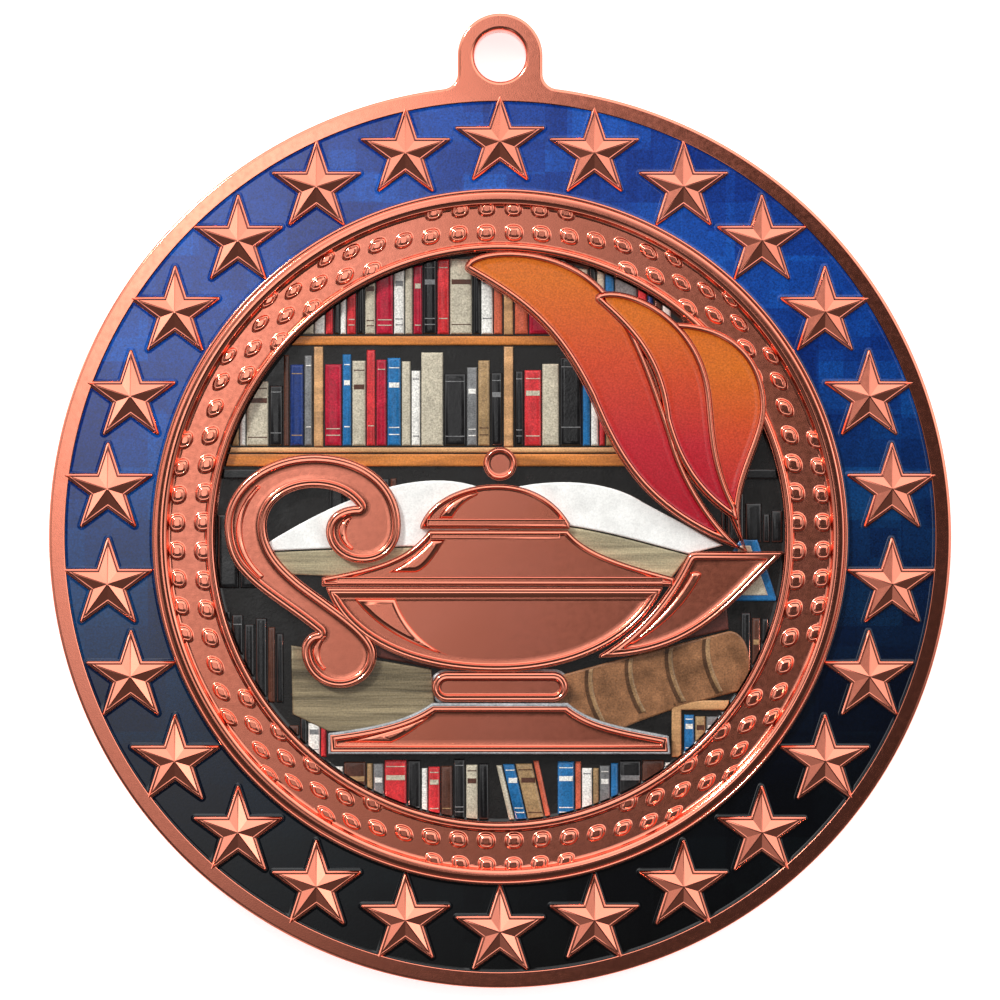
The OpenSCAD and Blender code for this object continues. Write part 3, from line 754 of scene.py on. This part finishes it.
# Edges of a book's round back, a flat piece, a band, and the ground where it
# creeps up a wall and where it laps over the foot's rim.
SPINE = [(0, -0.16), (0.03, -0.1), (0.08, -0.055), (0.15, -0.025), (0.24, -0.007), (0.36, 0)]
EDGE = [(0, -0.09), (0.03, -0.04), (0.08, -0.01), (0.14, 0)]
STRIP = [(0, -0.06), (0.025, 0)]
CREEP = [(0, 0.15), (0.05, 0.1), (0.1, 0.06), (0.17, 0.025), (0.26, 0)]
LAP = [(0, -0.14), (0.03, -0.06), (0.08, -0.015), (0.14, 0), (0.2, -0.01), (0.24, -0.05), (0.27, -0.16)]
BOOK_WIDTHS = (2.3, 2.9, 3.4, 3.9, 4.4, 5, 6.2, 8)
# The bands on a book's back: where they start as a share of its height, how
# tall they are, the chance that one is left out, and their colour by the book's.
BOOK_BANDS = ((0.12, 0.5), (0.2, 0.5), (0.66, 1.9), (0.88, 0.5))
NO_BAND = 0.45
BAND_COLOURS = {
    "white": "grey", "cream": "brown", "black": "grey", "grey": "white", "red": "cream",
    "crimson": "cream", "brown": "tan", "blue": "white", "navy": "tan", "orange": "cream",
    "tan": "brown", "cyan": "white"}


def item(loop, height, profile=EDGE):
    """A low piece of the picture, rooted in its ground."""
    top = RECESS_Z + GROUND + height
    return relief("item", loop, raised(profile, top), RECESS_Z + PRINT_ROOT)


def book(add, rng, colour, left, right, foot, height, lean):
    """A round-backed spine with plain bands across it."""
    space = 0.2
    margin = space + 0.45
    narrow = 3
    add(colour, item(box(left + space, right - space, foot, foot + height, lean), BOOK_H, SPINE))
    if colour not in BAND_COLOURS or right - left < narrow:
        return
    for share, tall in BOOK_BANDS:
        if rng.random() < NO_BAND:
            continue
        low = foot + height * share
        shift = lean * share
        band = box(left + margin + shift, right - margin + shift, low, low + tall)
        add("band_" + BAND_COLOURS[colour], item(band, BOOK_BAND_H, STRIP))


def fill_shelf(add, rng, left, right, foot, low, high, colours, lean=0):
    """Books side by side, of mixed widths, heights and colours."""
    least_width = 1.8
    last = ""
    while right - left > least_width:
        wide = min(rng.choice(BOOK_WIDTHS), right - left)
        colour = rng.choice([name for name in colours if name != last or colours is DARK])
        book(add, rng, colour, left, left + wide, foot, rng.uniform(low, high), lean)
        left += wide
        last = colour


def rib(x, y):
    """A raised rib across the back of the leather book."""
    return outline([[x, y], [x - 1.2, y - 6, x + 1, y - 13, x + 4.6, y - 19], [x + 6.2, y - 18.6],
                    [x + 2.8, y - 12.6, x + 0.6, y - 6, x + 1.7, y + 0.4]])


def make_ground(region):
    """The picture's ground, which creeps up the walls round it."""
    edge = FIELD_R - GAP - 0.01
    top = [(edge - away, RECESS_Z + GROUND + up) for away, up in CREEP]
    ground = revolve("picture_ground", [(edge, RECESS_Z)] + top)
    return combine(ground, region, "INTERSECT", keep=True)


def make_creep(region):
    """The print's pale edge, which runs round the knop and laps over the foot's rim."""
    root_z = RECESS_Z + PRINT_ROOT
    width = 0.3
    top = [(width - away, RECESS_Z + GROUND + up + 0.01) for away, up in reversed(CREEP)]
    strip = relief("picture_creep", inset(lamp["knop"], -width), top, root_z)
    combine(strip, region, "INTERSECT", keep=True)
    lap = relief("lap", inset(lamp["foot"], -0.1), raised(LAP, LAMP_Z), root_z)
    cut(lap, inset(lamp["foot"], 0.16))
    return combine(strip, lap)


def make_picture(region):
    """The picture's pieces by colour, each trimmed to the region. The books
    and boards stop a little short of the wall round them."""
    wall_space = 0.24
    groups = {}

    def add(colour, piece):
        groups.setdefault(colour, []).append(piece)

    rng = random.Random(7)
    for left, right, bottom, top, colour in BOARDS:
        add(colour, item(box(left, right, bottom, top), BOARD_H))
    for shelf in SHELVES:
        fill_shelf(add, rng, *shelf)
    for x, y in RIBS:
        add("cover_grooves", item(rib(x - 1.2, y - 0.3), GROOVE_H, STRIP))
        add("cover_ribs", item(rib(x, y), RIB_H))
    for kind, height, colour, rows in SHAPES:
        add(kind + "_" + colour, item(outline(rows), height))
    made = {}
    room = prism("room", circle(FIELD_R - wall_space, ROUND_STEPS), 0, CUT_TOP)
    combine(room, region, "INTERSECT", keep=True)
    for colour, items in groups.items():
        name = "picture_" + colour
        made[colour] = soften(combine(join(name, items), room, "INTERSECT", keep=True))
    bpy.data.objects.remove(room)
    made["creep"] = soften(make_creep(region))
    made["ground"] = soften(make_ground(region))
    return made


band = make_band()
enamels = {name: make_enamel(name) for name in flames}
region = make_region()
picture = make_picture(region)
bpy.data.objects.remove(region)


# Materials
def start_material(name, metallic=0.0):
    """A material, its shader and the place on the object in millimetres."""
    material = bpy.data.materials.new(name)
    material.use_nodes = True
    tree = material.node_tree
    surface = tree.nodes["Principled BSDF"]
    surface.inputs["Metallic"].default_value = metallic
    scale = tree.nodes.new("ShaderNodeVectorMath")
    scale.operation = "SCALE"
    scale.inputs["Scale"].default_value = 1 / MM
    tree.links.new(tree.nodes.new("ShaderNodeTexCoord").outputs["Object"], scale.inputs[0])
    return material, tree, surface, scale.outputs[0]


def plug(tree, value, socket):
    """Gives the socket a number, a colour or another socket's value."""
    if isinstance(value, (int, float)):
        socket.default_value = value
    elif isinstance(value, tuple):
        socket.default_value = (*value, 1)
    else:
        tree.links.new(value, socket)


def remap(tree, where, operation, amounts):
    """The place after a vector operation with fixed amounts."""
    node = tree.nodes.new("ShaderNodeVectorMath")
    node.operation = operation
    node.inputs[1].default_value = amounts
    tree.links.new(where, node.inputs[0])
    return node.outputs[0]


def noise(tree, where, scale, detail=3.0):
    node = tree.nodes.new("ShaderNodeTexNoise")
    node.inputs["Scale"].default_value = scale
    node.inputs["Detail"].default_value = detail
    tree.links.new(where, node.inputs["Vector"])
    return node.outputs["Fac"]


def maths(tree, operation, first, second):
    node = tree.nodes.new("ShaderNodeMath")
    node.operation = operation
    plug(tree, first, node.inputs[0])
    plug(tree, second, node.inputs[1])
    return node.outputs[0]


def ramp(tree, factor, stops):
    """A colour along a factor. A stop is (place, (red, green, blue))."""
    node = tree.nodes.new("ShaderNodeValToRGB")
    while len(node.color_ramp.elements) < len(stops):
        node.color_ramp.elements.new(1)
    for element, (at, colour) in zip(node.color_ramp.elements, stops):
        element.position = at
        element.color = (*colour, 1)
    tree.links.new(factor, node.inputs["Fac"])
    return node.outputs["Color"]


def span(tree, value, low, high, to_low=0.0, to_high=1.0, smooth=False):
    """The value moved from one range to another, and kept within it."""
    node = tree.nodes.new("ShaderNodeMapRange")
    node.interpolation_type = "SMOOTHSTEP" if smooth else "LINEAR"
    for name, number in zip(("From Min", "From Max", "To Min", "To Max"), (low, high, to_low, to_high)):
        node.inputs[name].default_value = number
    tree.links.new(value, node.inputs["Value"])
    return node.outputs["Result"]


def blend(tree, factor, first, second, kind="MIX"):
    node = tree.nodes.new("ShaderNodeMix")
    node.data_type = "RGBA"
    node.blend_type = kind
    colours = [socket for socket in node.inputs if socket.type == "RGBA"]
    for value, socket in zip((factor, first, second), (node.inputs[0], *colours)):
        plug(tree, value, socket)
    return next(socket for socket in node.outputs if socket.type == "RGBA")


def mottle(tree, surface, where, colour, scale, grain):
    """Gives the surface the colour, with fine grain over it."""
    speck = span(tree, noise(tree, where, scale, 2), 0.25, 0.75, 1 - grain, 1 + grain)
    tree.links.new(blend(tree, 1.0, colour, speck, "MULTIPLY"), surface.inputs["Base Color"])


def bump(tree, surface, height, strength, distance_mm):
    node = tree.nodes.new("ShaderNodeBump")
    node.inputs["Strength"].default_value = strength
    node.inputs["Distance"].default_value = distance_mm * MM
    tree.links.new(height, node.inputs["Height"])
    tree.links.new(node.outputs["Normal"], surface.inputs["Normal"])


def parts_of(tree, where):
    node = tree.nodes.new("ShaderNodeSeparateXYZ")
    tree.links.new(where, node.inputs[0])
    return node.outputs


def copper():
    """Bright plating, duller in the recesses, with painted shade that darkens its colour there."""
    material, tree, surface, where = start_material("copper_plating", metallic=1.0)
    broad = noise(tree, where, 0.12)
    fine = noise(tree, where, 2.4, 6)
    colour = ramp(tree, broad, [(0.3, (0.91, 0.275, 0.175)), (0.7, (0.96, 0.305, 0.205))])
    face = span(tree, parts_of(tree, where)[2], DISC_T - 0.08, DISC_T - 0.02)
    # Painted shade: below the face, in the recesses, the colour is darkened to 0.84 of itself.
    colour = blend(tree, 1.0, colour, span(tree, face, 0, 1, 0.84, 1), "MULTIPLY")
    tree.links.new(colour, surface.inputs["Base Color"])
    dull = maths(tree, "SUBTRACT", 0.055, maths(tree, "MULTIPLY", face, 0.055))
    polish = span(tree, fine, 0.3, 0.7, 0.08, 0.14)
    tree.links.new(maths(tree, "ADD", polish, dull), surface.inputs["Roughness"])
    bump(tree, surface, noise(tree, where, 9, 4), 0.05, 0.02)
    return material


def printed(name, colour, vary=0.25, grain=0.4, rough=0.16, along=(1, 1), lines=0.0, shine=0.5):
    """Glossy printed colour with blotches and grain."""
    material, tree, surface, where = start_material(name)
    surface.inputs["Specular IOR Level"].default_value = shine
    dark = tuple(c * (1 - vary) for c in colour)
    light = tuple(min(1, c * (1 + vary)) for c in colour)
    stretched = remap(tree, where, "MULTIPLY", (*along, 1))
    patches = noise(tree, stretched, 0.7, 5)
    tint = ramp(tree, patches, [(0.3, dark), (0.7, light)])
    mottle(tree, surface, where, tint, 8, grain)
    tree.links.new(span(tree, patches, 0.3, 0.7, rough, rough + 0.15), surface.inputs["Roughness"])
    bump(tree, surface, noise(tree, stretched, 3 if lines else 5, 3), 0.1 + lines, 0.05)
    return material


# The blue layer's colours at heights on the medal, the oblongs of its mosaic as
# width, height, offset and share, and what they do to the colour.
NIGHT_FADE = [
    (-34, (0.0006, 0.0006, 0.0007)), (-22, (0.0007, 0.0014, 0.003)), (-15, (0.0009, 0.0036, 0.012)),
    (-8, (0.0012, 0.009, 0.036)), (-2, (0.0014, 0.0155, 0.066)), (4, (0.0016, 0.0225, 0.112)),
    (12, (0.002, 0.029, 0.185)), (20, (0.003, 0.034, 0.22)), (34, (0.004, 0.038, 0.245))]
TILES = [(6.5, 4.1, 1.3, 0.4), (3.4, 6.3, 2.9, 0.35), (2.1, 2.3, 0.7, 0.25)]
TILE_SHADES = [(0, (0.75, 0.6, 0.7)), (0.5, (0.98, 1, 0.98)), (1, (1.3, 1.9, 1.5))]


def night_blue():
    """Blue at the top to black at the bottom, in a mosaic of faint oblongs."""
    material, tree, surface, where = start_material("night_blue")
    x, y, _ = parts_of(tree, where)
    height = maths(tree, "ADD", y, maths(tree, "MULTIPLY", x, -0.11))
    low, high = NIGHT_FADE[0][0], NIGHT_FADE[-1][0]
    fade = [((at - low) / (high - low), tint) for at, tint in NIGHT_FADE]
    colour = ramp(tree, span(tree, height, low, high), fade)
    tiles = None
    for wide, tall, shift, share in TILES:
        moved = remap(tree, where, "ADD", (shift, -shift, 0))
        white = tree.nodes.new("ShaderNodeTexWhiteNoise")
        tree.links.new(remap(tree, moved, "SNAP", (wide, tall, 100)), white.inputs["Vector"])
        part = maths(tree, "MULTIPLY", white.outputs["Value"], share)
        tiles = part if tiles is None else maths(tree, "ADD", tiles, part)
    shades = ramp(tree, span(tree, tiles, 0.2, 0.8), TILE_SHADES)
    mottle(tree, surface, where, blend(tree, 1.0, colour, shades, "MULTIPLY"), 8, 0.5)
    tree.links.new(span(tree, tiles, 0, 1, 0.08, 0.13), surface.inputs["Roughness"])
    surface.inputs["Specular IOR Level"].default_value = 0.62
    bump(tree, surface, noise(tree, where, 6, 2), 0.04, 0.02)
    return material


# The enamel's colours from low to high, and where they begin and end.
FLAME_FADE = [
    (0, (0.33, 0.0065, 0.018)), (0.3, (0.41, 0.016, 0.024)), (0.65, (0.5, 0.057, 0.019)),
    (1, (0.545, 0.125, 0.0135))]
FLAME_SPANS = {"left": (2, 20), "middle": (3, 17), "right": (-1, 13)}


def flame_enamel(name):
    """Grained enamel from red at the bottom to orange at the top."""
    material, tree, surface, where = start_material("flame_" + name)
    height = span(tree, parts_of(tree, where)[1], *FLAME_SPANS[name])
    mottle(tree, surface, where, ramp(tree, height, FLAME_FADE), 7.5, 0.28)
    tree.links.new(span(tree, noise(tree, where, 1), 0.3, 0.7, 0.14, 0.22), surface.inputs["Roughness"])
    bump(tree, surface, noise(tree, where, 6.5, 2), 0.08, 0.02)
    return material


COLOURS = {
    "white": (0.7, 0.68, 0.63), "cream": (0.46, 0.41, 0.31), "black": (0.006, 0.0055, 0.006),
    "grey": (0.16, 0.16, 0.16), "red": (0.5, 0.025, 0.03), "crimson": (0.36, 0.008, 0.028),
    "brown": (0.07, 0.025, 0.015), "blue": (0.012, 0.12, 0.3), "navy": (0.01, 0.03, 0.14),
    "orange": (0.5, 0.1, 0.05), "tan": (0.3, 0.19, 0.09), "cyan": (0.16, 0.42, 0.5),
    "binder": (0.008, 0.008, 0.0085), "ground": (0.007, 0.006, 0.0055), "creep": (0.27, 0.28, 0.29),
    "wood": (0.5, 0.27, 0.12), "shelf": (0.43, 0.145, 0.03), "pages": (0.79, 0.79, 0.76),
    "leaf": (0.34, 0.29, 0.18), "stack": (0.19, 0.15, 0.088), "maroon": (0.09, 0.025, 0.018),
    "leather": (0.215, 0.096, 0.041), "ribs": (0.26, 0.15, 0.07), "grooves": (0.07, 0.03, 0.012)}
# How each kind of piece is printed, where it isn't like plain cloth.
BOARD_PRINT = {"grain": 0.3, "along": (0.25, 2)}
LEAF_PRINT = {"grain": 0.3, "rough": 0.2, "along": (0.15, 3), "lines": 0.3}
HIDE_PRINT = {"vary": 0.4, "grain": 0.45, "rough": 0.2}
DARK_PRINT = {"rough": 0.12, "shine": 0.65}
PRINTS = {
    "wood": {"vary": 0.35, **BOARD_PRINT}, "shelf": {"vary": 0.4, **BOARD_PRINT},
    "leaf": {"vary": 0.4, **LEAF_PRINT}, "stack": {"vary": 0.6, **LEAF_PRINT},
    "leather": HIDE_PRINT, "ribs": HIDE_PRINT, "grooves": HIDE_PRINT,
    "maroon": {"vary": 0.3, "grain": 0.35, "rough": 0.2},
    "pages": {"vary": 0.1, "grain": 0.12, "rough": 0.2},
    "binder": DARK_PRINT, "black": DARK_PRINT, "white": {"vary": 0.12}, "cream": {"vary": 0.12}}
MATERIAL_NAMES = {
    "shelf": "shelf_front", "leaf": "page_edges", "stack": "stack_edges", "maroon": "maroon_cloth",
    "leather": "leather", "ribs": "ribs", "grooves": "grooves", "pages": "pages"}


def picture_material(group):
    """The look of one group of the picture's pieces."""
    kind = "pages" if group == "pages_white" else group.split("_")[-1]
    plain_name = group if kind == "wood" else group + "_print"
    return printed(MATERIAL_NAMES.get(kind, plain_name), COLOURS[kind], **PRINTS.get(kind, {}))


place(casting, "medal_body", copper())
place(band, "band_fill", night_blue())
for name, enamel in enamels.items():
    place(enamel, "flame_fill_" + name, flame_enamel(name))
for group, piece in picture.items():
    place(piece, "picture_fill", picture_material(group))


# Floor, surroundings, light and camera. The floor is in millimetres and the
# rest in metres. A glow is its centre and its size by direction, and its level.
FLOOR_REACH = 600
OVERHEAD_LEVEL = 0.055
OVERHEAD_GLOWS = [((-0.07, 0.075), (0.057, 0.106), 2.6), ((-0.074, -0.075), (0.03, 0.03), 0.2)]
SIDE_LEVEL = 0.11
SIDE_GLOWS = [
    ((-0.92, 0.37), (0.042, 0.1), 3.0), ((0.83, 0.2), (0.06, 0.08), 2.5), ((-0.38, -0.75), (0.1, 0.12), 0.8)]
# The level of the surroundings from left to right.
ACROSS_LEVELS = [
    (-1, 1.6), (-0.93, 1.0), (-0.88, 0.5), (-0.85, 0.3), (-0.8, 0.4), (-0.6, 0.9), (-0.35, 1.6),
    (0, 1.75), (0.4, 1.6), (0.75, 1.7), (0.85, 1.0), (0.93, 0.8), (1, 0.8)]
KEY_PLACE = (-0.225, 0.232, 0.25)
KEY_AIM = (0, 0.003, 0)
KEY_SIZE = 0.055
KEY_POWER = 1.35
CAMERA_Y = 0.00285
CAMERA_DISTANCE = 0.4
VIEW_W = 0.0775
SENSOR_W = 36


def make_floor():
    reach = FLOOR_REACH
    corners = [(-reach, -reach, 0), (reach, -reach, 0), (reach, reach, 0), (-reach, reach, 0)]
    floor = new_object("floor", corners, [(0, 1, 2, 3)])
    material = bpy.data.materials.new("pale_floor")
    material.use_nodes = True
    surface = material.node_tree.nodes["Principled BSDF"]
    looks = {
        "Base Color": (0.9, 0.9, 0.9, 1), "Roughness": 0.9, "Emission Color": (1, 1, 1, 1),
        "Emission Strength": 0.75}
    for name, value in looks.items():
        surface.inputs[name].default_value = value
    floor.data.materials.append(material)


def make_key_light():
    """A small square light at the upper left."""
    data = bpy.data.lights.new("key", "AREA")
    data.shape = "RECTANGLE"
    data.size = data.size_y = KEY_SIZE
    data.energy = KEY_POWER
    light = add_object("key", data)
    light.location = KEY_PLACE
    light.rotation_euler = (Vector(KEY_AIM) - Vector(KEY_PLACE)).to_track_quat("-Z", "Y").to_euler()


def glow(tree, x, y, centre, size, level):
    """A soft oval of light."""
    reach = 3
    steps = 8
    across = maths(tree, "DIVIDE", maths(tree, "SUBTRACT", x, centre[0]), size[0])
    up = maths(tree, "DIVIDE", maths(tree, "SUBTRACT", y, centre[1]), size[1])
    squares = maths(tree, "ADD", maths(tree, "MULTIPLY", across, across), maths(tree, "MULTIPLY", up, up))
    away = maths(tree, "SQRT", squares, 0)
    stops = [(k / steps, (level * math.exp(-(reach * k / steps) ** 2),) * 3) for k in range(steps + 1)]
    return ramp(tree, span(tree, away, 0, reach), stops)


def total(tree, lights):
    """The sum of lights, which are sockets or plain grey levels."""
    result, *rest = [(light,) * 3 if isinstance(light, float) else light for light in lights]
    for light in rest:
        result = blend(tree, 1.0, result, light, "ADD")
    return result


def make_world():
    """Soft surroundings. Overhead it is dark but for a large glow at the upper
    left and a faint one at the lower left. Lower down it is bright above the
    medal and at its sides, dark below it, and has three glows for the stars'
    facets to catch."""
    world = bpy.data.worlds.new("studio")
    bpy.context.scene.world = world
    world.use_nodes = True
    tree = world.node_tree
    way = tree.nodes.new("ShaderNodeTexCoord").outputs["Generated"]
    x, y, z = parts_of(tree, way)
    glows = [glow(tree, x, y, *each) for each in OVERHEAD_GLOWS]
    overhead = total(tree, [*glows, OVERHEAD_LEVEL, span(tree, y, 0.08, 0.3, smooth=True)])
    along = ramp(tree, span(tree, x, -1, 1), [((at + 1) / 2, (level,) * 3) for at, level in ACROSS_LEVELS])
    rise = span(tree, y, -0.35, 0.12, smooth=True)
    fall = span(tree, y, 0.85, 1, 1, 0.7)
    sides = blend(tree, 1.0, maths(tree, "MULTIPLY", rise, fall), along, "MULTIPLY")
    sides = total(tree, [sides, SIDE_LEVEL, *[glow(tree, x, y, *each) for each in SIDE_GLOWS]])
    high = span(tree, z, 0.75, 0.95, smooth=True)
    tree.links.new(blend(tree, high, sides, overhead), tree.nodes["Background"].inputs["Color"])
    tree.nodes["Background"].inputs["Strength"].default_value = 1.0


def make_camera():
    """A camera straight above the face, whose view is VIEW_W wide there."""
    data = bpy.data.cameras.new("camera")
    data.sensor_width = SENSOR_W
    data.lens = SENSOR_W * CAMERA_DISTANCE / VIEW_W
    camera = add_object("camera", data)
    camera.location = (0, CAMERA_Y, DISC_T * MM + CAMERA_DISTANCE)
    bpy.context.scene.camera = camera


make_floor()
make_key_light()
make_world()
make_camera()
bpy.context.scene.view_settings.view_transform = "Standard"
